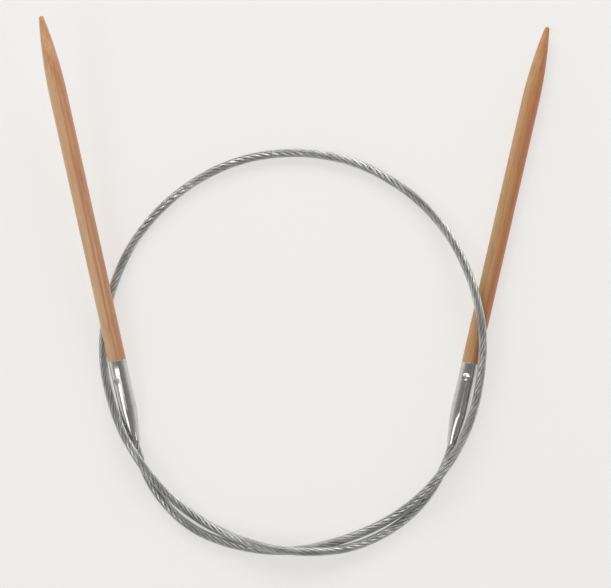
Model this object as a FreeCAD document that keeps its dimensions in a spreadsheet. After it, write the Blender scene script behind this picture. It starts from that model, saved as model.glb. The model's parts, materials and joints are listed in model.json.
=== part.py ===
import FreeCAD, Part
import math
import os

import Sketcher

# Circular knitting needle, in millimetres, +Z up, lying on the plane z = 0.
#
# Two turned bamboo points are glued into tapered metal ferrules, and one coated steel cable joins them.
# Each end of the cable carries a swaged conical stop, which the cone of its ferrule traps, so that each
# point turns freely about its own axis. The cable lies in a loop of about one and a third turns.
#
# Every piece of a point is drawn in the point's own frame: its local Z axis is the needle's axis, the
# ferrule's mouth is at z = 0 and the bamboo tip is at the top. A Placement lays the point in the assembly.

SIZES = [
    ("needle_diameter", 5.5, "bamboo and ferrule, which are flush"),
    ("point_reach", 108.0, "bamboo outside the ferrule, up to the very tip"),
    ("taper_length", 24.5, "rounded taper, up to the very tip"),
    ("tip_radius", 0.75, "ball at the tip"),
    ("ferrule_length", 26.0, "whole metal sleeve"),
    ("cone_length", 9.3, "taper of the sleeve towards the cable"),
    ("ferrule_wall", 0.4, "wall round the tenon"),
    ("lip_wall", 0.25, "wall at the mouth"),
    ("mouth_land", 3.5, "straight bore behind the mouth, which guides the cable"),
    ("edge_round", 0.1, "rounding of the sleeve's edges"),
    ("punch_radius", 1.1, "ball of the punch that marks the dimple"),
    ("punch_depth", 0.35, "depth of the dimple"),
    ("left_dimple_setback", 6.2, "dimple's centre to the bamboo end of the left sleeve"),
    ("right_dimple_setback", 4.5, "the same on the right sleeve, punched by hand and so not alike"),
    ("glue_gap", 0.03, "radial gap between tenon and bore"),
    ("cable_diameter", 2.6, "over the clear coat"),
    ("rope_diameter", 2.3, "steel rope inside the coat"),
    ("swivel_clearance", 0.06, "radial gap of the cable and its stop in the sleeve"),
    ("stop_setback", 1.5, "front of the stop behind the land"),
    ("stop_tail", 1.7, "straight part of the stop, behind the cone"),
    ("tenon_gap", 0.5, "free space between stop and tenon"),
    ("exit_run", 5.0, "straight cable outside each mouth"),
    ("left_mouth_x", -51.13, "where the left ferrule's mouth lies"),
    ("left_mouth_y", -64.57, "where the left ferrule's mouth lies"),
    ("left_heading", 11.7, "degrees from +Y towards -X"),
    ("left_dimple_angle", -122.0, "degrees about the needle's axis"),
    ("rest_reach", 41.5, "left mouth to the cable that the left point lies on"),
    ("rest_gap", 0.6, "between that cable and the left point"),
    ("right_mouth_x", 48.27, "where the right ferrule's mouth lies"),
    ("right_mouth_y", -65.67, "where the right ferrule's mouth lies"),
    ("right_heading", -12.9, "degrees from +Y towards -X"),
    ("right_dimple_angle", -106.0, "degrees about the needle's axis"),
]

# Cable route between its two exits: x, y and the height above lying flat.
ROUTE = [
    # out of the left mouth and along the near side
    (-45.2, -81.1, 0.0),
    (-33.8, -92.8, 0.0),
    (-18.0, -98.6, 0.0),
    (-1.5, -99.9, 0.0),
    (14.4, -96.1, 0.0),
    (26.2, -91.2, 1.0),
    # over the cable's other end, past the right mouth and over the right point
    (35.3, -84.9, 3.9),
    (42.4, -77.8, 7.1),
    (49.8, -67.7, 7.5),
    (55.4, -54.3, 7.9),
    (58.0, -34.8, 8.5),
    (55.9, -20.4, 8.5),
    (51.9, -8.5, 4.8),
    (45.7, 2.7, 1.2),
    # round the far side and under the left point
    (35.2, 13.6, 0.0),
    (18.1, 23.3, 0.0),
    (-1.5, 26.4, 0.0),
    (-21.0, 23.1, 0.0),
    (-38.1, 13.4, 0.0),
    (-50.6, 0.1, 0.0),
    (-57.7, -14.2, 0.0),
    (-61.1, -28.5, 0.0),
    (-61.3, -41.1, 0.1),
    # past the left mouth, over the cable's first end
    (-58.5, -53.2, 3.0),
    (-54.1, -63.7, 6.8),
    (-47.4, -74.1, 6.8),
    (-40.0, -82.7, 2.8),
    (-29.9, -90.4, 0.3),
    # over the first end again, then into the right mouth
    (-19.4, -95.4, 1.4),
    (-9.0, -98.2, 3.5),
    (4.0, -99.5, 3.5),
    (17.3, -98.5, 1.0),
    (30.1, -92.7, 0.0),
    (40.5, -83.5, 0.1),
]

ARC_SHARE = 0.45  # an arc's tangent length, as a share of the shorter of its two runs
VOLUME_TOLERANCE = 0.002  # the tubes against section times length
ROUND_EDGE_LIMIT = "min(<<sizes>>.edge_round; 0.4 * <<sizes>>.lip_wall)"


class Length:
    """A length that keeps its number and the spreadsheet formula that it comes from."""

    def __init__(self, formula, number):
        self.formula = formula
        self.number = number

    def __add__(self, other):
        other = as_length(other)
        return Length(f"({self.formula} + {other.formula})", self.number + other.number)

    def __sub__(self, other):
        other = as_length(other)
        return Length(f"({self.formula} - {other.formula})", self.number - other.number)

    def __mul__(self, other):
        other = as_length(other)
        return Length(f"({self.formula} * {other.formula})", self.number * other.number)

    def __truediv__(self, other):
        other = as_length(other)
        return Length(f"({self.formula} / {other.formula})", self.number / other.number)


def as_length(value):
    return value if isinstance(value, Length) else Length(str(value), float(value))


def make_sheet(document):
    sheet = document.addObject("Spreadsheet::Sheet", "sizes")
    for row, (alias, number, note) in enumerate(SIZES, start=1):
        sheet.set(f"A{row}", alias)
        sheet.set(f"B{row}", str(number))
        sheet.set(f"C{row}", note)
        sheet.setAlias(f"B{row}", alias)
    document.recompute()
    return sheet


def size(alias):
    return Length(f"<<sizes>>.{alias}", float(sizes_sheet.get(alias)))


def number(alias):
    return size(alias).number


# ---------------------------------------------------------------- sketch helpers


def new_sketch(body, name, lift=None, turn=None):
    """A sketch on the body's XZ plane: its x is the radius and its y is the needle's axis.

    lift raises it along that axis and turn turns it about that axis.
    """
    sketch = body.newObject("Sketcher::SketchObject", name)
    plane = next(f for f in body.Origin.OriginFeatures if f.Role == "XZ_Plane")
    sketch.AttachmentSupport = [(plane, "")]
    sketch.MapMode = "FlatFace"
    if lift is not None:
        offset = FreeCAD.Rotation(FreeCAD.Vector(0, 1, 0), turn.number)
        sketch.AttachmentOffset = FreeCAD.Placement(FreeCAD.Vector(0, lift.number, 0), offset)
        sketch.setExpression("AttachmentOffset.Base.y", lift.formula)
        sketch.setExpression("AttachmentOffset.Rotation.Angle", turn.formula)
    return sketch


def pin_point(sketch, edge, end, x, y):
    """Holds one end of an edge at x, y, each bound to its formula."""
    for kind, value in (("DistanceX", x), ("DistanceY", y)):
        index = sketch.addConstraint(Sketcher.Constraint(kind, -1, 1, edge, end, value.number))
        sketch.setExpression(f"Constraints[{index}]", value.formula)


def vector(x, y):
    return FreeCAD.Vector(as_length(x).number, as_length(y).number, 0)


def draw_polygon(sketch, corners):
    """A closed outline through the corners, each held by its two formulas."""
    count = len(corners)
    for i, (x, y) in enumerate(corners):
        sketch.addGeometry(Part.LineSegment(vector(x, y), vector(*corners[(i + 1) % count])), False)
    for i in range(count):
        sketch.addConstraint(Sketcher.Constraint("Coincident", i, 2, (i + 1) % count, 1))
    for i, (x, y) in enumerate(corners):
        pin_point(sketch, i, 1, as_length(x), as_length(y))


def draw_half_disc(sketch, centre_x, radius):
    """The upper half of a disc whose flat side lies on the sketch's x axis."""
    middle = vector(centre_x, 0)
    arc = Part.ArcOfCircle(Part.Circle(middle, FreeCAD.Vector(0, 0, 1), radius.number), 0, math.pi)
    sketch.addGeometry(arc, False)
    sketch.addGeometry(Part.LineSegment(vector(centre_x - radius, 0), vector(centre_x + radius, 0)), False)
    sketch.addConstraint(Sketcher.Constraint("Coincident", 0, 2, 1, 1))
    sketch.addConstraint(Sketcher.Constraint("Coincident", 1, 2, 0, 1))
    pin_point(sketch, 0, 3, centre_x, as_length(0))
    pin_point(sketch, 1, 1, centre_x - radius, as_length(0))


def revolve(body, sketch, name, axis="V_Axis", cut=False):
    kind = "PartDesign::Groove" if cut else "PartDesign::Revolution"
    feature = body.newObject(kind, name)
    feature.Profile = sketch
    feature.ReferenceAxis = (sketch, [axis])
    feature.Angle = 360
    return feature


def round_edges(body, base, name, wanted):
    """Rounds the circular edges that wanted(edge) picks."""
    body.Document.recompute()
    picked = [f"Edge{i}" for i, edge in enumerate(base.Shape.Edges, start=1) if wanted(edge)]
    fillet = body.newObject("PartDesign::Fillet", name)
    fillet.Base = (base, picked)
    fillet.setExpression("Radius", ROUND_EDGE_LIMIT)
    return fillet


def is_circle_at(edge, radius, height):
    """Is this edge a full circle about the needle's axis, of this radius and at this height?"""
    if not isinstance(edge.Curve, Part.Circle):
        return False
    centre = edge.Curve.Center
    off = max(abs(centre.x), abs(centre.y), abs(centre.z - height), abs(edge.Curve.Radius - radius))
    return off < 0.001


def expect_change(before, feature, what):
    """A groove or cup that touches nothing leaves the volume as it was."""
    feature.Document.recompute()
    if abs(feature.Shape.Volume - before) < 0.01:
        raise RuntimeError(f"{what} changed nothing")


# ---------------------------------------------------------------- sizes that follow from others


def ferrule_bore():
    return size("needle_diameter") / 2 - size("ferrule_wall")


def mouth_bore():
    return size("cable_diameter") / 2 + size("swivel_clearance")


def mouth_radius():
    return mouth_bore() + size("lip_wall")


def stop_front():
    return size("mouth_land") + size("stop_setback")


def stop_back():
    return size("cone_length") + size("stop_tail")


def tenon_end():
    return stop_back() + size("tenon_gap")


def punch_centre():
    return size("needle_diameter") / 2 + size("punch_radius") - size("punch_depth")


def dimple_height(side):
    return size("ferrule_length") - size(f"{side}_dimple_setback")


# ---------------------------------------------------------------- the pieces of one point


def make_shaft(document, side):
    """Turned bamboo point: tenon, shoulder, straight shank, long rounded taper and ball tip."""
    label = f"shaft_{side}"
    body = document.addObject("PartDesign::Body", label)
    sketch = new_sketch(body, f"{label}_outline")
    radius = size("needle_diameter") / 2
    tenon = ferrule_bore() - size("glue_gap")
    shoulder = size("ferrule_length")
    tip = shoulder + size("point_reach")
    taper_start = tip - size("taper_length")
    ball = size("tip_radius")

    # the taper is one arc, tangent to the shank and to the ball at the tip
    rise = (size("taper_length") - ball).number
    drop = (radius - ball).number
    taper_arc = (radius.number**2 - ball.number**2 + rise**2) / (2 * drop)
    turn = math.asin(rise / (taper_arc - ball.number))
    taper_centre = vector(radius.number - taper_arc, taper_start)
    upright = FreeCAD.Vector(0, 0, 1)

    corners = [(0, tenon_end()), (tenon, tenon_end()), (tenon, shoulder), (radius, shoulder), (radius, taper_start)]
    for start, end in zip(corners, corners[1:]):
        sketch.addGeometry(Part.LineSegment(vector(*start), vector(*end)), False)
    sketch.addGeometry(Part.ArcOfCircle(Part.Circle(taper_centre, upright, taper_arc), 0, turn), False)
    ball_circle = Part.Circle(vector(0, tip - ball), upright, ball.number)
    sketch.addGeometry(Part.ArcOfCircle(ball_circle, turn, math.pi / 2), False)
    sketch.addGeometry(Part.LineSegment(vector(0, tip), vector(0, tenon_end())), False)
    shank, taper, nose, axis = 3, 4, 5, 6

    for edge in range(shank):
        sketch.addConstraint(Sketcher.Constraint("Coincident", edge, 2, edge + 1, 1))
    sketch.addConstraint(Sketcher.Constraint("Tangent", shank, 2, taper, 1))
    sketch.addConstraint(Sketcher.Constraint("Tangent", taper, 2, nose, 1))
    sketch.addConstraint(Sketcher.Constraint("Coincident", nose, 2, axis, 1))
    sketch.addConstraint(Sketcher.Constraint("Coincident", axis, 2, 0, 1))
    for edge, (x, y) in enumerate(corners[:4]):
        pin_point(sketch, edge, 1, as_length(x), y)
    pin_point(sketch, shank, 2, radius, taper_start)
    pin_point(sketch, nose, 3, as_length(0), tip - ball)
    ball_size = sketch.addConstraint(Sketcher.Constraint("Radius", nose, ball.number))
    sketch.setExpression(f"Constraints[{ball_size}]", ball.formula)
    sketch.addConstraint(Sketcher.Constraint("PointOnObject", nose, 2, -2))
    turned = revolve(body, sketch, f"{label}_turned")
    document.recompute()
    before = turned.Shape.Volume

    # the dent that the ferrule's dimple presses into the tenon
    dent_sketch = new_sketch(body, f"{label}_dent_outline", lift=dimple_height(side), turn=size(f"{side}_dimple_angle"))
    dent_radius = size("punch_radius") + size("ferrule_wall") + size("glue_gap")
    draw_half_disc(dent_sketch, punch_centre(), dent_radius)
    dent = revolve(body, dent_sketch, f"{label}_dent", axis="H_Axis", cut=True)
    expect_change(before, dent, "the dent")
    body.Tip = dent
    return body


def make_ferrule(document, side):
    """Metal sleeve: socket for the tenon, cone, guiding land, rounded mouth and one punched dimple."""
    label = f"ferrule_{side}"
    body = document.addObject("PartDesign::Body", label)
    radius = size("needle_diameter") / 2
    sketch = new_sketch(body, f"{label}_outline")
    draw_polygon(
        sketch,
        [
            (mouth_bore(), 0),
            (mouth_radius(), 0),
            (radius, size("cone_length")),
            (radius, size("ferrule_length")),
            (ferrule_bore(), size("ferrule_length")),
            (ferrule_bore(), size("cone_length")),
            (mouth_bore(), size("mouth_land")),
        ],
    )
    sleeve = revolve(body, sketch, f"{label}_sleeve")
    top = number("ferrule_length")
    lips = [(mouth_radius().number, 0), (mouth_bore().number, 0), (radius.number, top)]
    rounded = round_edges(
        body, sleeve, f"{label}_rounded", lambda edge: any(is_circle_at(edge, r, z) for r, z in lips)
    )
    document.recompute()
    before = rounded.Shape.Volume

    # the dimple: the wall that the punch pushes inwards, then the hollow that it leaves
    cup_radius = size("punch_radius") + size("ferrule_wall")
    rim_x = radius - size("ferrule_wall") * 0.9
    rim_y = math.sqrt(cup_radius.number**2 - (punch_centre() - rim_x).number ** 2)
    cup_sketch = new_sketch(body, f"{label}_cup_outline", lift=dimple_height(side), turn=size(f"{side}_dimple_angle"))
    turn = math.atan2(rim_y, (rim_x - punch_centre()).number)
    circle = Part.Circle(vector(punch_centre(), 0), FreeCAD.Vector(0, 0, 1), cup_radius.number)
    cup_sketch.addGeometry(Part.ArcOfCircle(circle, turn, math.pi), False)
    cup_sketch.addGeometry(Part.LineSegment(vector(punch_centre() - cup_radius, 0), vector(rim_x, 0)), False)
    cup_sketch.addGeometry(Part.LineSegment(vector(rim_x, 0), vector(rim_x, rim_y)), False)
    cup_sketch.addConstraint(Sketcher.Constraint("Coincident", 0, 2, 1, 1))
    cup_sketch.addConstraint(Sketcher.Constraint("Coincident", 1, 2, 2, 1))
    cup_sketch.addConstraint(Sketcher.Constraint("Coincident", 2, 2, 0, 1))
    cup_sketch.addConstraint(Sketcher.Constraint("Vertical", 2))
    pin_point(cup_sketch, 0, 3, punch_centre(), as_length(0))
    pin_point(cup_sketch, 1, 1, punch_centre() - cup_radius, as_length(0))
    pin_point(cup_sketch, 1, 2, rim_x, as_length(0))
    cup = revolve(body, cup_sketch, f"{label}_cup", axis="H_Axis")
    expect_change(before, cup, "the dimple's cup")
    before = cup.Shape.Volume

    hollow_sketch = new_sketch(body, f"{label}_hollow_outline", lift=dimple_height(side), turn=size(f"{side}_dimple_angle"))
    draw_half_disc(hollow_sketch, punch_centre(), size("punch_radius"))
    hollow = revolve(body, hollow_sketch, f"{label}_hollow", axis="H_Axis", cut=True)
    expect_change(before, hollow, "the dimple's hollow")
    body.Tip = hollow
    return body


def make_end_stop(document, side):
    """Conical collar swaged on the bare rope, a running fit in the ferrule's cone and bore."""
    label = f"end_stop_{side}"
    body = document.addObject("PartDesign::Body", label)
    sketch = new_sketch(body, f"{label}_outline")
    rope = size("rope_diameter") / 2
    clearance = size("swivel_clearance")
    flare = (ferrule_bore() - mouth_bore()) / (size("cone_length") - size("mouth_land"))
    front = mouth_bore() + flare * size("stop_setback") - clearance
    back = ferrule_bore() - clearance
    draw_polygon(
        sketch,
        [
            (rope, stop_front()),
            (front, stop_front()),
            (back, size("cone_length")),
            (back, stop_back()),
            (rope, stop_back()),
        ],
    )
    revolve(body, sketch, f"{label}_swaged")
    return body


# ---------------------------------------------------------------- where the two points lie


def lean_angle(reach, radius, height):
    """The lean, in radians, at which reach * sin(lean) - radius * cos(lean) = height."""
    return math.asin(height / math.hypot(reach, radius)) + math.atan2(radius, reach)


def left_placement():
    """The left point lies on the cable, and its cone's shoulder or its cable's exit reaches the table."""
    radius = number("needle_diameter") / 2
    cable = number("cable_diameter")
    reach = number("rest_reach")
    on_cable = cable + number("rest_gap")
    from_shoulder = lean_angle(reach - number("cone_length"), 0.0, on_cable)
    from_exit = lean_angle(reach + number("exit_run"), radius, on_cable - cable / 2)
    lean = min(from_shoulder, from_exit)
    height = on_cable + radius * math.cos(lean) - reach * math.sin(lean)
    mouth = FreeCAD.Vector(number("left_mouth_x"), number("left_mouth_y"), height)
    return mouth, turned(number("left_heading"), math.degrees(lean))


def right_placement():
    """The right point lies flat on the table."""
    mouth = FreeCAD.Vector(number("right_mouth_x"), number("right_mouth_y"), number("needle_diameter") / 2)
    return mouth, turned(number("right_heading"), 0.0)


def turned(heading, lean):
    """Local Z laid along +Y, leant up and turned to its heading."""
    lay = FreeCAD.Rotation(FreeCAD.Vector(1, 0, 0), lean - 90)
    head = FreeCAD.Rotation(FreeCAD.Vector(0, 0, 1), heading)
    return head.multiply(lay)


# ---------------------------------------------------------------- cable


def point_axis(rotation):
    return rotation.multVec(FreeCAD.Vector(0, 0, 1))


def cable_points(left, right):
    """The route's points, from inside the left ferrule to inside the right one."""
    lying = number("cable_diameter") / 2
    inside = stop_front().number
    outside = number("exit_run")
    points = []
    for mouth, rotation in (left, right):
        axis = point_axis(rotation)
        points.append([mouth + axis * inside, mouth - axis * outside])
    middle = [FreeCAD.Vector(x, y, lying + rise) for x, y, rise in ROUTE]
    return points[0] + middle + points[1][::-1]


def rounded_edges(points):
    """Straight runs joined by tangent arcs, each as large as its two runs allow. Also gives the radii."""
    edges = []
    radii = []
    at = points[0]
    for before, corner, after in zip(points, points[1:], points[2:]):
        back = before - corner
        ahead = after - corner
        tangent = ARC_SHARE * min(back.Length, ahead.Length)
        half_turn = (math.pi - back.getAngle(ahead)) / 2
        radii.append(tangent / math.tan(half_turn))
        back.normalize()
        ahead.normalize()
        start = corner + back * tangent
        end = corner + ahead * tangent
        inward = back + ahead
        inward.normalize()
        sagitta = radii[-1] / math.cos(half_turn) - radii[-1]
        edges.append(Part.LineSegment(at, start).toShape())
        edges.append(Part.Arc(start, corner + inward * sagitta, end).toShape())
        at = end
    edges.append(Part.LineSegment(at, points[-1]).toShape())
    return edges, radii


def make_path(document, name, edges):
    path = document.addObject("Part::Feature", name)
    path.Shape = Part.Wire(edges)
    return path


def sweep_circle(document, name, path, diameter):
    """A plain round bar along the path, its radius bound to the sheet."""
    start = path.Shape.Edges[0]
    direction = start.tangentAt(start.FirstParameter)
    circle = document.addObject("Part::Circle", f"{name}_section")
    circle.setExpression("Radius", f"<<sizes>>.{diameter} / 2")
    circle.Placement = FreeCAD.Placement(
        start.valueAt(start.FirstParameter), FreeCAD.Rotation(FreeCAD.Vector(0, 0, 1), direction)
    )
    sweep = document.addObject("Part::Sweep", name)
    sweep.Sections = [circle]
    sweep.Spine = (path, [f"Edge{i}" for i in range(1, len(path.Shape.Edges) + 1)])
    sweep.Solid = True
    sweep.Frenet = False
    return sweep


def make_cable(document, left, right):
    """The steel rope from stop to stop, and the clear coat from the front of one stop to the other."""
    points = cable_points(left, right)
    edges, radii = rounded_edges(points)
    print("bend radii, mm:", " ".join(f"{radius:.0f}" for radius in radii))
    path = make_path(document, "coat_path", edges)
    stubs = []
    for mouth, rotation in (left, right):
        axis = point_axis(rotation)
        stubs.append((mouth + axis * stop_back().number, mouth + axis * stop_front().number))
    first = Part.LineSegment(stubs[0][0], stubs[0][1]).toShape()
    last = Part.LineSegment(stubs[1][1], stubs[1][0]).toShape()
    rope_path = make_path(document, "rope_path", [first] + edges + [last])
    core = sweep_circle(document, "cable_core", rope_path, "rope_diameter")
    coat = sweep_circle(document, "coat_outside", path, "cable_diameter")
    jacket = document.addObject("Part::Cut", "cable_jacket")
    jacket.Base = coat
    jacket.Tool = core
    document.recompute()
    rope_area = math.pi * number("rope_diameter") ** 2 / 4
    coat_area = math.pi * number("cable_diameter") ** 2 / 4 - rope_area
    for piece, area, route in ((core, rope_area, rope_path), (jacket, coat_area, path)):
        expected = area * route.Shape.Length
        print(f"{piece.Name}: length {route.Shape.Length:.1f} mm, volume {piece.Shape.Volume:.1f} mm3")
        if abs(piece.Shape.Volume / expected - 1) > VOLUME_TOLERANCE:
            raise RuntimeError(f"{piece.Name} should be {expected:.1f} mm3")
    return [core, jacket]


# ---------------------------------------------------------------- the assembly


def check_document(document, pieces):
    for thing in document.Objects:
        if "Invalid" in thing.State or "Error" in thing.State:
            raise RuntimeError(f"{thing.Name} did not build: {thing.State}")
    for piece in pieces:
        if piece.Shape.isNull() or not piece.Shape.isValid() or len(piece.Shape.Solids) != 1:
            raise RuntimeError(f"{piece.Label} is not one valid solid")


document = FreeCAD.newDocument("circular_needle")
sizes_sheet = make_sheet(document)
places = {"left": left_placement(), "right": right_placement()}
pieces = []
for side, (mouth, rotation) in places.items():
    for maker in (make_shaft, make_ferrule, make_end_stop):
        piece = maker(document, side)
        piece.Placement = FreeCAD.Placement(mouth, rotation)
        pieces.append(piece)
pieces += make_cable(document, places["left"], places["right"])
document.recompute()
check_document(document, pieces)

os.makedirs("parts", exist_ok=True)
for piece in pieces:
    piece.Shape.exportStep(os.path.join("parts", f"{piece.Label}.step"))
    box = piece.Shape.BoundBox
    print(
        f"{piece.Label}: {piece.Shape.Volume:.1f} mm3,"
        f" x {box.XMin:.2f} to {box.XMax:.2f}, y {box.YMin:.2f} to {box.YMax:.2f}, z {box.ZMin:.2f} to {box.ZMax:.2f}"
    )
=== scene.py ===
# %% [markdown]
# # A circular knitting needle
# Two turned bamboo points, each glued into a plated metal ferrule, hang on the two ends of one coated steel
# cable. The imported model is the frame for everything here. It says where each ferrule's mouth is and which
# way its point looks, and the points, the ferrules and the cable's ends are made for those places.

# %% Load the frame
import json
import math

import bmesh
import bpy
from mathutils import Matrix, Vector


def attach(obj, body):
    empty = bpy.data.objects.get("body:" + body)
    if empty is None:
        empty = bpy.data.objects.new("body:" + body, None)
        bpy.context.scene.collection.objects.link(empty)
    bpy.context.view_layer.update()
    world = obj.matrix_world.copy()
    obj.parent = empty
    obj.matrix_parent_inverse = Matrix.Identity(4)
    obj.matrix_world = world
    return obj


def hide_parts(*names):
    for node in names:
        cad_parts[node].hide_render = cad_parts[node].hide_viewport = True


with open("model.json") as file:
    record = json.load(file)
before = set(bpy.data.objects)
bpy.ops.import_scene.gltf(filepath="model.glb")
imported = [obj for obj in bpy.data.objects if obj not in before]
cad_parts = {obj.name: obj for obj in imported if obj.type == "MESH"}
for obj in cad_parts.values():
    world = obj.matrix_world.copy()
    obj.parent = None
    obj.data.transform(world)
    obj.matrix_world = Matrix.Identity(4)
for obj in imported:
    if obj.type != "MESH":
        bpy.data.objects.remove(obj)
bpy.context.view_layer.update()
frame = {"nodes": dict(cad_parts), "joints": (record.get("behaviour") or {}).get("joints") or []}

MM = 0.001

# %% [markdown]
# ## The camera
# The needle lies on a table and the camera looks straight down on it from just under half a metre. At that
# distance perspective is small but real: a point that stands up off the table looks a little longer than
# one that lies flat. The focal length follows from the height and the width of table that is in view, by
# similar triangles. The Standard view transform shows pale greys as they are, where the usual one would dim
# them.

# %% Camera straight above the table
CAMERA_HEIGHT = 450 * MM
TABLE_IN_VIEW = 192.5 * MM
CAMERA_OVER = Vector((2.4, -18.7, 0)) * MM
SENSOR_WIDTH = 36.0

camera_data = bpy.data.cameras.new("camera")
camera_data.sensor_fit = "HORIZONTAL"
camera_data.sensor_width = SENSOR_WIDTH
camera_data.lens = SENSOR_WIDTH * CAMERA_HEIGHT / TABLE_IN_VIEW
camera = bpy.data.objects.new("camera", camera_data)
camera.location = CAMERA_OVER + Vector((0, 0, CAMERA_HEIGHT))
bpy.context.scene.collection.objects.link(camera)
bpy.context.scene.camera = camera
bpy.context.scene.view_settings.view_transform = "Standard"
print(f"lens {camera_data.lens:.1f} mm")

# %% [markdown]
# ## The cable's line
# The cable is a springy steel rope in a clear nylon coat, about half a metre of it between the two
# ferrules. It runs in one open loop and overlaps itself along the near side. A NURBS spline of order 3
# suits it: its control points pull it into one smooth bend with no straight runs and no kinks, which is how
# steel rope lies. The points are x, y and how far the cable is lifted off the table, all in millimetres.
# The lifts were chosen one by one. The x and y were chosen by hand first, then fitted to the real cable's
# line by another program.
#
# The cable leaves each ferrule along the ferrule's own axis, so the line's first and last points are at the
# mouths and the next ones are a few millimetres out along the same axis. Both come from the frame's joints.

# %% Mouths and axes of the two points
def swivel(side):
    """Where a point's ferrule lets the cable out, and the direction from there to its tip."""
    joint = next(joint for joint in frame["joints"] if joint["name"] == f"{side}_swivel")
    return Vector(joint["pos_m"]), Vector(joint["axis"]).normalized()


MOUTHS = {side: swivel(side) for side in ("left", "right")}
for side, (mouth, axis) in MOUTHS.items():
    print(side, "mouth", [round(x / MM, 2) for x in mouth], "lean", round(math.degrees(math.asin(axis.z)), 2))

# %% Control points between the mouths
CABLE_DIAMETER = 2.6 * MM
EXIT_RUN = 5 * MM
ROUTE_MM = [
    # out of the left mouth and along the near side
    (-45.2, -81.1, 0.0),
    (-33.8, -92.8, 0.0),
    (-18.0, -98.6, 0.0),
    (-1.5, -99.9, 0.0),
    (14.4, -96.1, 0.0),
    (26.2, -91.2, 0.1),
    # over the cable's other end, past the right mouth and over the right point
    (35.3, -84.9, 1.8),
    (42.4, -77.8, 3.9),
    (49.8, -67.7, 3.95),
    (55.4, -54.3, 4.8),
    (58.0, -34.8, 5.75),
    (55.9, -20.4, 5.75),
    (51.9, -8.5, 3.1),
    (45.7, 2.7, 0.6),
    # round the far side and under the left point
    (35.2, 13.6, 0.0),
    (18.1, 23.3, 0.0),
    (-1.5, 26.4, 0.0),
    (-21.0, 23.1, 0.0),
    (-38.1, 13.4, 0.0),
    (-50.6, 0.1, 0.0),
    (-57.7, -14.2, 0.0),
    (-61.1, -28.5, 0.0),
    (-61.3, -41.1, 0.0),
    # past the left mouth, over the cable's first end
    (-58.5, -53.2, 0.9),
    (-54.1, -63.7, 2.95),
    (-47.4, -74.1, 3.1),
    (-40.0, -82.7, 1.1),
    (-29.9, -90.4, 0.0),
    # over the first end again, then into the right mouth
    (-19.4, -95.4, 1.3),
    (-9.0, -98.2, 2.9),
    (4.0, -99.5, 2.95),
    (17.3, -98.5, 0.9),
    (30.1, -92.7, 0.0),
    (40.5, -83.5, 0.15),
]

route = [MOUTHS["left"][0], MOUTHS["left"][0] - MOUTHS["left"][1] * EXIT_RUN]
route += [Vector((x, y, rise)) * MM + Vector((0, 0, CABLE_DIAMETER / 2)) for x, y, rise in ROUTE_MM]
route += [MOUTHS["right"][0] - MOUTHS["right"][1] * EXIT_RUN, MOUTHS["right"][0]]
print(len(route), "control points")

# %% Read the smooth line from the spline
SAMPLES_PER_SPAN = 28


def smooth_line(points):
    """The points along a NURBS spline with these control points."""
    curve = bpy.data.curves.new("cable_line", "CURVE")
    curve.dimensions = "3D"
    curve.resolution_u = SAMPLES_PER_SPAN
    spline = curve.splines.new("NURBS")
    spline.points.add(len(points) - 1)
    for control, place in zip(spline.points, points):
        control.co = (*place, 1)
    spline.order_u = 3
    spline.use_endpoint_u = True
    holder = bpy.data.objects.new("cable_line", curve)
    mesh = bpy.data.meshes.new_from_object(holder)
    line = [vertex.co.copy() for vertex in mesh.vertices]
    bpy.data.meshes.remove(mesh)
    bpy.data.objects.remove(holder)
    bpy.data.curves.remove(curve)
    return line


def length_of(line):
    return sum((b - a).length for a, b in zip(line, line[1:]))


free_line = smooth_line(route)
print(len(free_line), "points,", round(length_of(free_line) / MM, 1), "mm of free cable")

# %% [markdown]
# ## Rope and coat
# Inside the coat is a rope of seven strands, six laid round a seventh. The eye reads it as steel rope only
# if the slanting strands are really there, each with its own highlight and a dark groove beside it, so they
# are modelled one by one. Each outer strand is a helix round the cable's line. To draw it, two directions
# square to the line travel along with it and are kept from twisting of their own accord, and the strand
# turns in that frame once every lay length, right-handed.
#
# The rope goes on inside the ferrule as far as its swaged stop, and the coat ends where the stop begins.
# Both stretches are straight, so their points are simply steps along the ferrule's axis.

# %% Carry the line into the ferrules
STOP_FRONT = 5 * MM
STOP_BACK = 11 * MM
INSIDE_STEP = 0.5 * MM


def inside(side, depth):
    """Steps along a ferrule's axis, from the mouth to this depth."""
    mouth, axis = MOUTHS[side]
    return [mouth + axis * INSIDE_STEP * i for i in range(1, round(depth / INSIDE_STEP) + 1)]


def cable_line(depth):
    return inside("left", depth)[::-1] + free_line + inside("right", depth)


coat_line = cable_line(STOP_FRONT)
rope_line = cable_line(STOP_BACK)
print("coat", round(length_of(coat_line) / MM, 1), "mm, rope", round(length_of(rope_line) / MM, 1), "mm")

# %% Strands laid round the line
ROPE_DIAMETER = 2.3 * MM
LAY_LENGTH = 15 * MM
OUTER_STRANDS = 6
STRAND_RADIUS = ROPE_DIAMETER / 6


def travelling_frame(line):
    """At each point of the line: two directions square to it, which don't twist as they go."""
    frames = []
    side = None
    for i in range(len(line)):
        along = (line[min(i + 1, len(line) - 1)] - line[max(i - 1, 0)]).normalized()
        start = Vector((0, 0, 1)) if side is None else side
        side = (start - along * start.dot(along)).normalized()
        frames.append((side, along.cross(side)))
    return frames


def strand(line, frames, first_angle, radius):
    """A right-handed helix of this radius round the line."""
    points = []
    travelled = 0.0
    for i, (place, (side, up)) in enumerate(zip(line, frames)):
        travelled += (place - line[i - 1]).length if i else 0.0
        angle = first_angle + math.tau * travelled / LAY_LENGTH
        points.append(place + side * (radius * math.cos(angle)) + up * (radius * math.sin(angle)))
    return points


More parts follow.
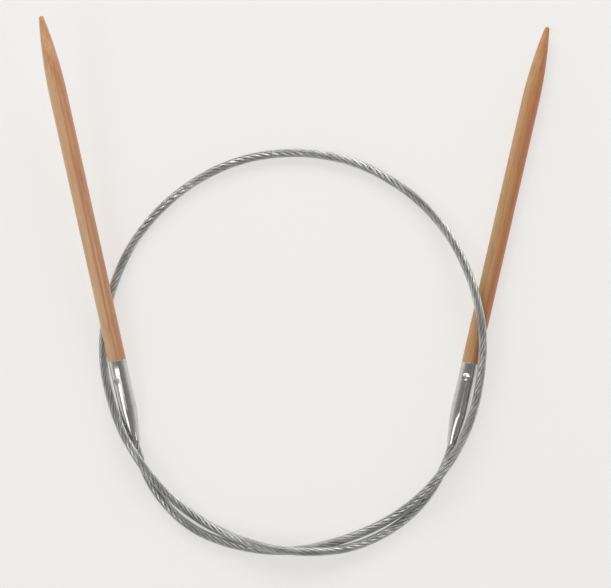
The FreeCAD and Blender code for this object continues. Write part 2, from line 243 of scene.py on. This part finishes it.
def round_bars(name, lines, radius, rings):
    """One closed mesh of round bars, one along each line."""
    curve = bpy.data.curves.new(name, "CURVE")
    curve.dimensions = "3D"
    curve.bevel_depth = radius
    curve.bevel_resolution = rings
    curve.use_fill_caps = True
    for line in lines:
        spline = curve.splines.new("POLY")
        spline.points.add(len(line) - 1)
        for point, place in zip(spline.points, line):
            point.co = (*place, 1)
    holder = bpy.data.objects.new(name, curve)
    mesh = bpy.data.meshes.new_from_object(holder)
    bpy.data.objects.remove(holder)
    bpy.data.curves.remove(curve)
    mesh.name = name
    return mesh


rope_frames = travelling_frame(rope_line)
strands = [rope_line]
for k in range(OUTER_STRANDS):
    strands.append(strand(rope_line, rope_frames, math.tau * k / OUTER_STRANDS, 2 * STRAND_RADIUS))
rope_mesh = round_bars("rope_strands", strands, STRAND_RADIUS, rings=2)
coat_mesh = round_bars("clear_coat", [coat_line], CABLE_DIAMETER / 2, rings=10)
print("rope", len(rope_mesh.polygons), "faces, coat", len(coat_mesh.polygons), "faces")

# %% Put both in the scene
SHARP_ANGLE = math.radians(40)


def show(name, mesh, body, replaced):
    """Links a finished mesh as a piece of this body, which stands for these CAD nodes."""
    mesh.shade_smooth()
    mesh.set_sharp_from_angle(angle=SHARP_ANGLE)
    piece = bpy.data.objects.new(name, mesh)
    bpy.context.scene.collection.objects.link(piece)
    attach(piece, body)
    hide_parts(*replaced)
    return piece


rope = show("rope_strands", rope_mesh, "cable", ["cable_core"])
coat = show("clear_coat", coat_mesh, "cable", ["cable_jacket"])
length_of(coat_line)

# %% [markdown]
# ## Turning on the lathe
# Points and ferrules are all turned, so each is an outline spun about its own axis, as on a real lathe. In
# bmesh that is a chain of a few vertices and the spin operator. Corners that a maker would break are then
# bevelled on the spun shape. Each piece is made standing up at the world's origin, with its ferrule's mouth
# at height 0, and is laid in its place last. Before that, every vertex keeps its place on the lathe in an
# attribute, because grain and polishing marks follow the piece and not the room.

# %% Spin an outline
LATHE_STEPS = 96
MERGE = 0.001 * MM


def spin_outline(outline, closed):
    """Spins (radius, height) corners, in mm, about the Z axis. A closed outline makes a ring."""
    shape = bmesh.new()
    corners = [shape.verts.new((radius * MM, 0, height * MM)) for radius, height in outline]
    pairs = list(zip(corners, corners[1:]))
    if closed:
        pairs.append((corners[-1], corners[0]))
    chain = [shape.edges.new(pair) for pair in pairs]
    bmesh.ops.spin(
        shape, geom=corners + chain, cent=(0, 0, 0), axis=(0, 0, 1), angle=math.tau,
        steps=LATHE_STEPS, use_merge=True, use_duplicate=False,
    )
    bmesh.ops.remove_doubles(shape, verts=shape.verts, dist=MERGE)
    bmesh.ops.recalc_face_normals(shape, faces=shape.faces)
    return shape


def break_corner(shape, radius, height, width, segments):
    """Bevels the turned corner at this radius and height, all in mm."""

    def on_corner(vertex):
        off = max(abs(vertex.co.xy.length - radius * MM), abs(vertex.co.z - height * MM))
        return off < MERGE

    ring = [edge for edge in shape.edges if all(on_corner(vertex) for vertex in edge.verts)]
    bmesh.ops.bevel(
        shape, geom=ring, offset=width * MM, offset_type="OFFSET", segments=segments,
        profile=0.5, affect="EDGES", material=-1, clamp_overlap=True,
    )
    print(f"  corner at radius {radius:.2f}, height {height:.2f}: {len(ring)} edges")


# %% [markdown]
# ## The dimple
# A punch dents each ferrule once near its bamboo end and drives the sheet into the tenon, which locks the
# two. The sheet round the punch is drawn in with it, so the dent is deepest in its middle and fades out at
# a soft rim. Cutting with a ball would leave a hard rim, so the wall is pressed: it is cut into small faces
# there, and each vertex goes in by a depth that falls smoothly to nothing at the rim. The ferrule's
# outside, its bore and the tenon within go in alike, so no wall meets another.

# %% Press the dimple
NEEDLE_RADIUS = 2.75
DIMPLE_RADIUS = 1.25
DIMPLE_DEPTH = 0.35
RIM_SOFTNESS = 1.5
DIMPLE_SETBACKS = {"left": 6.2, "right": 4.5}  # from each dimple's middle to the bamboo
PRESS_REACH = 1.5
WALL_BAND = 0.1
EXTRA_CUTS = 3


def press_dimple(shape, height, wall_radius):
    """Presses in the wall that has this radius, on its +X side."""

    def off_axis(place):
        return math.hypot(place.y, place.z - height * MM) / MM

    def in_wall(vertex):
        return vertex.co.x > 0 and abs(vertex.co.xy.length / MM - wall_radius) < WALL_BAND

    def in_reach(vertex):
        return in_wall(vertex) and off_axis(vertex.co) < PRESS_REACH

    near = [edge for edge in shape.edges if all(in_reach(vertex) for vertex in edge.verts)]
    bmesh.ops.subdivide_edges(shape, edges=near, cuts=EXTRA_CUTS, use_grid_fill=True)
    moved = 0
    for vertex in [vertex for vertex in shape.verts if in_wall(vertex)]:
        off = off_axis(vertex.co)
        if off < DIMPLE_RADIUS:
            vertex.co.x -= DIMPLE_DEPTH * (1 - (off / DIMPLE_RADIUS) ** 2) ** RIM_SOFTNESS * MM
            moved += 1
    print(f"  dimple at height {height:.1f}, radius {wall_radius:.2f} moved {moved} vertices")


# %% Lay a turned piece in its place
ROLLS = {"left": -122, "right": -106}  # degrees, which turn each dimple where it shows


def lying(side):
    """The place of one point: its lathe axis along the frame's axis, its mouth at the frame's mouth."""
    mouth, axis = MOUTHS[side]
    heading = math.atan2(-axis.x, axis.y)
    lean = math.asin(axis.z)
    turn = Matrix.Rotation(heading, 4, "Z") @ Matrix.Rotation(lean - math.pi / 2, 4, "X")
    return Matrix.Translation(mouth) @ turn


def finish_turning(shape, name, side):
    """Keeps each vertex's place on the lathe, rolled as the point is, then lays the piece down."""
    roll = Matrix.Rotation(math.radians(ROLLS[side]), 4, "Z")
    bmesh.ops.transform(shape, matrix=roll, verts=shape.verts)
    mesh = bpy.data.meshes.new(name)
    shape.to_mesh(mesh)
    shape.free()
    on_lathe = mesh.attributes.new("on_lathe_mm", "FLOAT_VECTOR", "POINT")
    for vertex, stored in zip(mesh.vertices, on_lathe.data):
        stored.vector = vertex.co / MM
    mesh.transform(lying(side))
    print(f"{name}: {len(mesh.polygons)} faces")
    return mesh


# %% [markdown]
# ## Ferrules
# A ferrule is a plated tube, cut and swaged to a cone at the cable's end. The cone flows into the cylinder
# in a soft shoulder, the lip is rolled round, and the end that takes the bamboo has only a broken edge.
# Wide, soft bevels matter more than anything else on polished metal, because a highlight runs along them.

# %% Turn the ferrules
FERRULE_LENGTH = 26.0
CONE_LENGTH = 9.3
MOUTH_LAND = 3.5
FERRULE_WALL = 0.4
MOUTH_BORE = 1.36
LIP_WALL = 0.25
BORE = NEEDLE_RADIUS - FERRULE_WALL
DIMPLE_HEIGHTS = {side: FERRULE_LENGTH - setback for side, setback in DIMPLE_SETBACKS.items()}


def heights_round_dimple(side, spacing=0.25):
    """Extra rings that give the dimple something to press."""
    count = round(2 * PRESS_REACH / spacing)
    return [DIMPLE_HEIGHTS[side] - PRESS_REACH + spacing * i for i in range(count + 1)]


def ferrule_outline(side):
    outside = [(MOUTH_BORE + LIP_WALL, 0), (NEEDLE_RADIUS, CONE_LENGTH)]
    outside += [(NEEDLE_RADIUS, height) for height in heights_round_dimple(side)]
    outside += [(NEEDLE_RADIUS, FERRULE_LENGTH)]
    within = [(BORE, FERRULE_LENGTH)]
    within += [(BORE, height) for height in reversed(heights_round_dimple(side))]
    within += [(BORE, CONE_LENGTH), (MOUTH_BORE, MOUTH_LAND), (MOUTH_BORE, 0)]
    return outside + within


def make_ferrule(side):
    shape = spin_outline(ferrule_outline(side), closed=True)
    press_dimple(shape, DIMPLE_HEIGHTS[side], NEEDLE_RADIUS)
    press_dimple(shape, DIMPLE_HEIGHTS[side], BORE)
    break_corner(shape, NEEDLE_RADIUS, CONE_LENGTH, width=1.2, segments=6)
    break_corner(shape, MOUTH_BORE + LIP_WALL, 0, width=0.1, segments=4)
    break_corner(shape, MOUTH_BORE, 0, width=0.1, segments=4)
    break_corner(shape, NEEDLE_RADIUS, FERRULE_LENGTH, width=0.08, segments=3)
    mesh = finish_turning(shape, f"ferrule_sleeve_{side}", side)
    return show(f"ferrule_sleeve_{side}", mesh, f"needle_{side}", [f"ferrule_{side}"])


ferrules = {side: make_ferrule(side) for side in MOUTHS}

# %% [markdown]
# ## Bamboo points
# A point is straight for most of its length and then draws in along one long arc to a small ball. The arc
# leaves the shank without a corner and meets the ball without a corner, so its radius follows from the
# taper's length, the needle's radius and the ball's. Behind the shoulder a thinner tenon goes into the
# ferrule, dented by the same punch.

# %% Turn the points
POINT_REACH = 108.0
TAPER_LENGTH = 24.5
TIP_BALL = 0.75
TENON_START = 11.5
GLUE_GAP = 0.03
TIP = FERRULE_LENGTH + POINT_REACH
TENON_RADIUS = BORE - GLUE_GAP


def taper_outline(steps=28, ball_steps=8):
    """The long arc from the shank to the ball, and the ball's own quarter, as (radius, height)."""
    rise = TAPER_LENGTH - TIP_BALL
    arc = (NEEDLE_RADIUS**2 - TIP_BALL**2 + rise**2) / (2 * (NEEDLE_RADIUS - TIP_BALL))
    turn = math.asin(rise / (arc - TIP_BALL))
    outline = []
    for i in range(steps + 1):
        angle = turn * i / steps
        radius = NEEDLE_RADIUS - arc * (1 - math.cos(angle))
        outline.append((radius, TIP - TAPER_LENGTH + arc * math.sin(angle)))
    for i in range(1, ball_steps + 1):
        angle = turn + (math.pi / 2 - turn) * i / ball_steps
        outline.append((TIP_BALL * math.cos(angle), TIP - TIP_BALL + TIP_BALL * math.sin(angle)))
    return outline


def make_point(side):
    outline = [(0, TENON_START), (TENON_RADIUS, TENON_START)]
    outline += [(TENON_RADIUS, height) for height in heights_round_dimple(side)]
    outline += [(TENON_RADIUS, FERRULE_LENGTH), (NEEDLE_RADIUS, FERRULE_LENGTH)]
    outline += taper_outline()
    shape = spin_outline(outline, closed=False)
    press_dimple(shape, DIMPLE_HEIGHTS[side], TENON_RADIUS)
    break_corner(shape, NEEDLE_RADIUS, FERRULE_LENGTH, width=0.12, segments=3)
    mesh = finish_turning(shape, f"bamboo_point_{side}", side)
    return show(f"bamboo_point_{side}", mesh, f"needle_{side}", [f"shaft_{side}"])


points = {side: make_point(side) for side in MOUTHS}

# %% [markdown]
# ## Shader maths
# A finish is easiest to read when its sums look like sums. `Wire` wraps one output of a node, and adding or
# multiplying wires adds the Math nodes. `Finish` holds a material and has one method that adds any other
# node.

# %% Wires and finishes
class Wire:
    """One output of a node, which can be used in arithmetic."""

    def __init__(self, finish, socket):
        self.finish = finish
        self.socket = socket

    def math(self, operation, *values):
        return self.finish.add("ShaderNodeMath", {"operation": operation}, dict(enumerate(values)))

    def __add__(self, other):
        return self.math("ADD", self, other)

    def __sub__(self, other):
        return self.math("SUBTRACT", self, other)

    def __rsub__(self, other):
        return self.math("SUBTRACT", other, self)

    def __mul__(self, other):
        return self.math("MULTIPLY", self, other)

    __radd__ = __add__
    __rmul__ = __mul__


class Finish:
    """A material that is built node by node."""

    def __init__(self, name):
        self.material = bpy.data.materials.new(name)
        self.material.use_nodes = True
        self.tree = self.material.node_tree
        self.tree.nodes.clear()

    def add(self, kind, settings=(), inputs=(), output=0):
        """Adds a node, with its settings first, and gives one of its outputs."""
        node = self.tree.nodes.new(kind)
        for name, value in dict(settings).items():
            if name == "stops":
                set_stops(node.color_ramp, value)
            else:
                setattr(node, name, value)
        for key, value in dict(inputs).items():
            if isinstance(value, Wire):
                self.tree.links.new(value.socket, node.inputs[key])
            else:
                node.inputs[key].default_value = value
        return Wire(self, node.outputs[output])

    def noise(self, place, scale, detail=2.0, roughness=0.5):
        inputs = {"Vector": place, "Scale": scale, "Detail": detail, "Roughness": roughness}
        return self.add("ShaderNodeTexNoise", (), inputs, "Fac")

    def stretch(self, place, factors):
        return self.add("ShaderNodeVectorMath", {"operation": "MULTIPLY"}, {0: place, 1: factors})

    def fade(self, value, low, high):
        """0 below low, 1 above high, smooth between."""
        inputs = {"Value": value, "From Min": low, "From Max": high}
        return self.add("ShaderNodeMapRange", {"interpolation_type": "SMOOTHSTEP"}, inputs)

    def ramp(self, value, stops):
        return self.add("ShaderNodeValToRGB", {"stops": stops}, {0: value})

    def blend(self, factor, a, b, how="MIX"):
        settings = {"data_type": "RGBA", "blend_type": how, "clamp_factor": True}
        return self.add("ShaderNodeMix", settings, {0: factor, 6: a, 7: b}, 2)

    def surface(self, **sockets):
        """The finished surface. Underscores stand for the spaces in the sockets' names."""
        inputs = {name.replace("_", " "): value for name, value in sockets.items()}
        shader = self.add("ShaderNodeBsdfPrincipled", (), inputs)
        result = self.tree.nodes.new("ShaderNodeOutputMaterial")
        self.tree.links.new(shader.socket, result.inputs["Surface"])
        return self.material


def set_stops(ramp, stops):
    while len(ramp.elements) > 1:
        ramp.elements.remove(ramp.elements[-1])
    for i, (position, colour) in enumerate(stops):
        element = ramp.elements[0] if i == 0 else ramp.elements.new(position)
        element.position = position
        element.color = colour


def paint(red, green, blue):
    """A colour as it looks on a screen, 0 to 255, as the linear values that Blender works in."""

    def linear(value):
        share = value / 255
        return share / 12.92 if share <= 0.04045 else ((share + 0.055) / 1.055) ** 2.4

    return (linear(red), linear(green), linear(blue), 1)


# %% [markdown]
# ## Bamboo
# The points are cut from the wall of a bamboo cane and baked until they turn tan. The wall isn't the same
# right through: near the cane's skin the fibres are dense, dark and reddish, and towards its hollow they
# are sparse and yellow. So one side of each point is olive yellow and the other red-brown, and long bands
# run between them. On the left point the colour across also holds a lighter band a little off the axis,
# which is a painted highlight: the soft sheen of the near left strip light, painted into the colour.
# On top lie hair-thin dark fibre bundles, all parallel to the axis. The cane is long
# compared with a needle, so every pattern is stretched hard along the axis. Where the tip draws in, the
# lathe cuts across the same straight fibres, which comes for free because the pattern is solid.

# %% Bamboo finish
CANE_STEP = 300.0  # mm along the cane from one point's patch of it to the other's
SKIN_AND_SHEEN_SPREAD = 0.36  # of the colour ramp, from a point's axis to its side


def bamboo_finish(name, stops, seed):
    finish = Finish(name)
    place = finish.add("ShaderNodeAttribute", {"attribute_name": "on_lathe_mm"}, (), "Vector")
    place = finish.add("ShaderNodeVectorMath", {"operation": "ADD"}, {0: place, 1: (0, 0, seed * CANE_STEP)})
    across = finish.add("ShaderNodeSeparateXYZ", (), {0: place}, "X")

    bands = finish.noise(finish.stretch(place, (1, 1, 0.008)), scale=1.1)
    drift = finish.noise(finish.stretch(place, (0.6, 0.6, 0.05)), scale=1.0, detail=1.0)
    fibres = finish.noise(finish.stretch(place, (1, 1, 0.012)), scale=5.5, detail=3.0, roughness=0.6)
    bundles = finish.noise(finish.stretch(place, (1, 1, 0.03)), scale=4.2, detail=1.0)

    # Place across the point, from one side to the other. It picks the cane's own olive or red-brown tone, and
    # on the left point also the painted highlight band in the ramp.
    skin_side_and_sheen = across * (SKIN_AND_SHEEN_SPREAD / NEEDLE_RADIUS) + 0.5
    tone = skin_side_and_sheen + (bands - 0.5) * 1.5 + (drift - 0.5) * 0.5
    colour = finish.ramp(tone, stops)
    grain = finish.fade(fibres, 0.35, 0.7)
    colour = finish.blend(grain * 0.45, colour, (0.62, 0.5, 0.42, 1), "MULTIPLY")
    dashes = finish.fade(bundles, 0.62, 0.72)
    colour = finish.blend(dashes * 0.55, colour, (0.55, 0.42, 0.34, 1), "MULTIPLY")

    bump = finish.add(
        "ShaderNodeBump", (), {"Strength": 0.35, "Distance": 0.03 * MM, "Height": 1 - (grain * 0.6 + dashes)}
    )
    return finish.surface(
        Base_Color=colour,
        Roughness=0.4 + grain * 0.12,
        Normal=bump,
        Specular_IOR_Level=0.45,
        Coat_Weight=0.12,
        Coat_Roughness=0.28,
    )


# Colour ramps across each point. Olive yellow to red-brown is the cane's own colour. On the left point the
# lighter stops at 0.28 and 0.42 are a painted highlight, the sheen of the near left strip light.
BAMBOO_TONES_AND_SHEEN = {
    "left": [
        (0.0, paint(218, 186, 139)),
        (0.28, paint(236, 192, 147)),
        (0.42, paint(238, 188, 143)),
        (0.56, paint(227, 166, 121)),
        (0.74, paint(220, 160, 119)),
        (1.0, paint(214, 162, 128)),
    ],
    "right": [
        (0.0, paint(203, 168, 123)),
        (0.3, paint(209, 164, 114)),
        (0.45, paint(209, 150, 100)),
        (0.58, paint(216, 148, 100)),
        (0.76, paint(207, 138, 96)),
        (1.0, paint(211, 146, 110)),
    ],
}
for seed, side in enumerate(MOUTHS, start=1):
    points[side].data.materials.append(bamboo_finish(f"bamboo_{side}", BAMBOO_TONES_AND_SHEEN[side], seed))

# %% [markdown]
# ## Metal
# The ferrules are nickel plated and polished: a mirror with a trace of yellow, softened by very fine
# rubbing marks round the lathe axis and a few dull patches from handling. The rope is drawn steel wire,
# rougher and patchy with tarnish. The stops are plain swaged steel and hide inside the ferrules.

# %% Metal finishes
def nickel_finish():
    finish = Finish("polished_nickel")
    place = finish.add("ShaderNodeAttribute", {"attribute_name": "on_lathe_mm"}, (), "Vector")
    rings = finish.noise(finish.stretch(place, (0.15, 0.15, 1)), scale=9.0, detail=3.0)
    patches = finish.noise(place, scale=0.5, detail=3.0, roughness=0.6)
    bump = finish.add("ShaderNodeBump", (), {"Strength": 0.06, "Distance": 0.01 * MM, "Height": rings})
    dull = finish.fade(patches, 0.42, 0.72)
    colour = finish.blend(dull, (0.66, 0.65, 0.63, 1), (0.58, 0.57, 0.55, 1))
    return finish.surface(
        Base_Color=colour, Metallic=1.0, Roughness=0.11 + dull * 0.09 + rings * 0.04, Normal=bump
    )


def wire_finish():
    finish = Finish("drawn_steel")
    place = finish.add("ShaderNodeTexCoord", (), (), "Object")
    tarnish = finish.noise(place, scale=160.0, detail=3.0, roughness=0.6)
    colour = finish.blend(finish.fade(tarnish, 0.35, 0.7), (0.8, 0.8, 0.785, 1), (0.6, 0.6, 0.58, 1))
    return finish.surface(Base_Color=colour, Metallic=1.0, Roughness=0.26 + tarnish * 0.16)


def swaged_finish():
    finish = Finish("swaged_steel")
    place = finish.add("ShaderNodeTexCoord", (), (), "Object")
    marks = finish.noise(place, scale=900.0)
    return finish.surface(Base_Color=(0.45, 0.45, 0.45, 1), Metallic=1.0, Roughness=0.35 + marks * 0.2)


nickel = nickel_finish()
for ferrule in ferrules.values():
    ferrule.data.materials.append(nickel)
rope.data.materials.append(wire_finish())
swaged = swaged_finish()
for side in MOUTHS:
    stop = frame["nodes"][f"end_stop_{side}"]
    stop.data.materials.clear()
    stop.data.materials.append(swaged)

# %% [markdown]
# ## Clear coat
# Nylon is a little less than water clear and bends light like glass, so the rope inside looks fatter than
# it is and fills the cable's whole width. Real refraction gives that for nothing: the coat's surface has
# the transmission and index of nylon, and the strands lie inside it with no air between.

# %% Clear nylon finish
def nylon_finish():
    finish = Finish("clear_nylon")
    place = finish.add("ShaderNodeTexCoord", (), (), "Object")
    ripple = finish.noise(place, scale=700.0)
    bump = finish.add("ShaderNodeBump", (), {"Strength": 0.1, "Distance": 0.02 * MM, "Height": ripple})
    return finish.surface(
        Base_Color=(0.98, 0.985, 0.98, 1), Roughness=0.06, IOR=1.5, Transmission_Weight=1.0, Normal=bump
    )


coat.data.materials.append(nylon_finish())

# %% [markdown]
# ## Table and light
# The table is pale, matt and almost white. It glows a little of its own, as a light table does, so that
# shadows stay faint. The light is a studio tent, bright near the horizon and dim overhead where the camera
# looks in. Polished metal shows that dim patch as the grey stripe along its middle. Soft boxes on the near
# side put the white streaks beside it, and a long one on the far side picks out the top of the rope.

# %% Table
TABLE_SIZE = 4.0
TABLE_GLOW = 0.55


def make_table():
    shape = bmesh.new()
    bmesh.ops.create_grid(shape, x_segments=1, y_segments=1, size=TABLE_SIZE / 2)
    mesh = bpy.data.meshes.new("table")
    shape.to_mesh(mesh)
    shape.free()
    table = bpy.data.objects.new("table", mesh)
    bpy.context.scene.collection.objects.link(table)
    finish = Finish("pale_table")
    mesh.materials.append(
        finish.surface(
            Base_Color=(0.45, 0.446, 0.438, 1),
            Roughness=0.9,
            Specular_IOR_Level=0.0,
            Emission_Color=(1.0, 0.991, 0.972, 1),
            Emission_Strength=TABLE_GLOW,
        )
    )


make_table()

# %% Tent and soft boxes
def light_tent(horizon, walls, zenith):
    """A bright horizon, dim walls and a darker opening overhead."""
    world = bpy.data.worlds.new("tent")
    bpy.context.scene.world = world
    world.use_nodes = True
    tree = world.node_tree
    tree.nodes.clear()
    direction = tree.nodes.new("ShaderNodeTexCoord")
    split = tree.nodes.new("ShaderNodeSeparateXYZ")
    ramp = tree.nodes.new("ShaderNodeValToRGB")
    background = tree.nodes.new("ShaderNodeBackground")
    output = tree.nodes.new("ShaderNodeOutputWorld")
    stops = [(0.0, horizon), (0.15, horizon), (0.45, walls), (1.0, zenith)]
    set_stops(ramp.color_ramp, [(place, (grey, grey, grey, 1)) for place, grey in stops])
    tree.links.new(direction.outputs["Generated"], split.inputs[0])
    tree.links.new(split.outputs["Z"], ramp.inputs[0])
    tree.links.new(ramp.outputs[0], background.inputs["Color"])
    tree.links.new(background.outputs[0], output.inputs["Surface"])


BOX_DISTANCE = 1.5


def soft_box(name, start, end, width, radiance):
    """A rectangular light BOX_DISTANCE away. Its long middle line runs between these two directions."""
    first = Vector(start).normalized() * BOX_DISTANCE
    last = Vector(end).normalized() * BOX_DISTANCE
    middle = (first + last) / 2
    along = (last - first).normalized()
    outwards = (middle - along * middle.dot(along)).normalized()
    across = outwards.cross(along)
    data = bpy.data.lights.new(name, "AREA")
    data.shape = "RECTANGLE"
    data.size = (last - first).length
    data.size_y = width
    data.energy = radiance * math.pi * data.size * width
    light = bpy.data.objects.new(name, data)
    light.location = CAMERA_OVER + middle
    light.rotation_mode = "QUATERNION"
    light.rotation_quaternion = Matrix((along, across, outwards)).transposed().to_quaternion()
    bpy.context.scene.collection.objects.link(light)


light_tent(horizon=0.64, walls=0.34, zenith=0.22)
soft_box("near_left_strip", (0.05, -0.15, 0.97), (-0.72, -0.29, 0.6), width=0.2, radiance=2.0)
soft_box("near_left_box", (-0.42, -0.44, 0.79), (-0.66, -0.5, 0.56), width=0.56, radiance=2.0)
soft_box("near_right_spot", (0.7, -0.47, 0.54), (0.76, -0.48, 0.44), width=0.1, radiance=5.0)
soft_box("far_box", (-0.7, 0.8, 0.45), (0.7, 0.8, 0.45), width=0.6, radiance=2.8)
